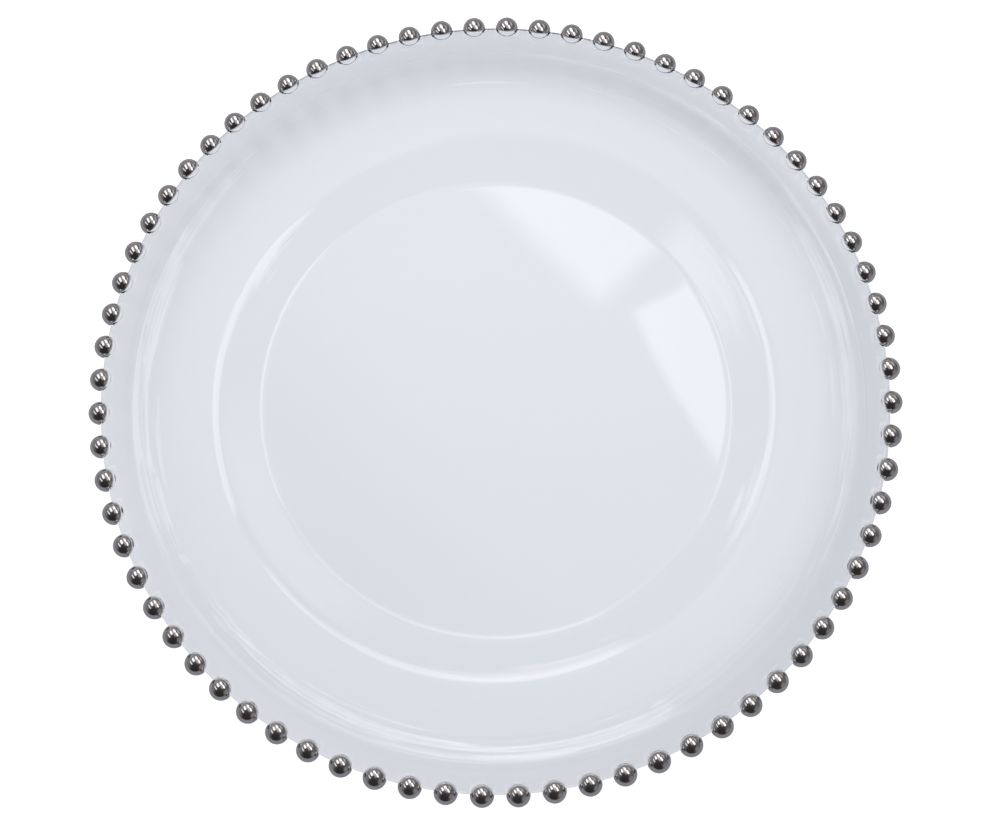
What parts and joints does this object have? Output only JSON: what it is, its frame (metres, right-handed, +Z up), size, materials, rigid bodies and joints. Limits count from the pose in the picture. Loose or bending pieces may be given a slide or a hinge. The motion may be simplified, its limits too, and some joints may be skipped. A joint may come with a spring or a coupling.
{
  "type": "charger plate",
  "caption": "Round clear glass charger plate with a flat well, a raised flange and a rim edged with silver-capped glass beads.",
  "frame": {"origin": "on the table under the centre of the plate's flat underside", "axes": "+Z up through the centre of the plate; +X through the first bead"},
  "size_m": [0.33, 0.33, 0.0267],
  "materials": {
    "clear_glass": "fire-polished pressed glass",
    "silver": "bright metallic silver coat"
  },
  "bodies": {
    "root": {"glass_plate": "clear_glass", "silver_beads_01": "silver", "silver_beads_02": "silver", "silver_beads_03": "silver", "silver_beads_04": "silver", "silver_beads_05": "silver", "silver_beads_06": "silver", "silver_beads_07": "silver", "silver_beads_08": "silver", "silver_beads_09": "silver", "silver_beads_10": "silver", "silver_beads_11": "silver", "silver_beads_12": "silver", "silver_beads_13": "silver", "silver_beads_14": "silver", "silver_beads_15": "silver", "silver_beads_16": "silver", "silver_beads_17": "silver", "silver_beads_18": "silver", "silver_beads_19": "silver", "silver_beads_20": "silver", "silver_beads_21": "silver", "silver_beads_22": "silver", "silver_beads_23": "silver", "silver_beads_24": "silver", "silver_beads_25": "silver", "silver_beads_26": "silver", "silver_beads_27": "silver", "silver_beads_28": "silver", "silver_beads_29": "silver", "silver_beads_30": "silver", "silver_beads_31": "silver", "silver_beads_32": "silver", "silver_beads_33": "silver", "silver_beads_34": "silver", "silver_beads_35": "silver", "silver_beads_36": "silver"}
  },
  "joints": []
}
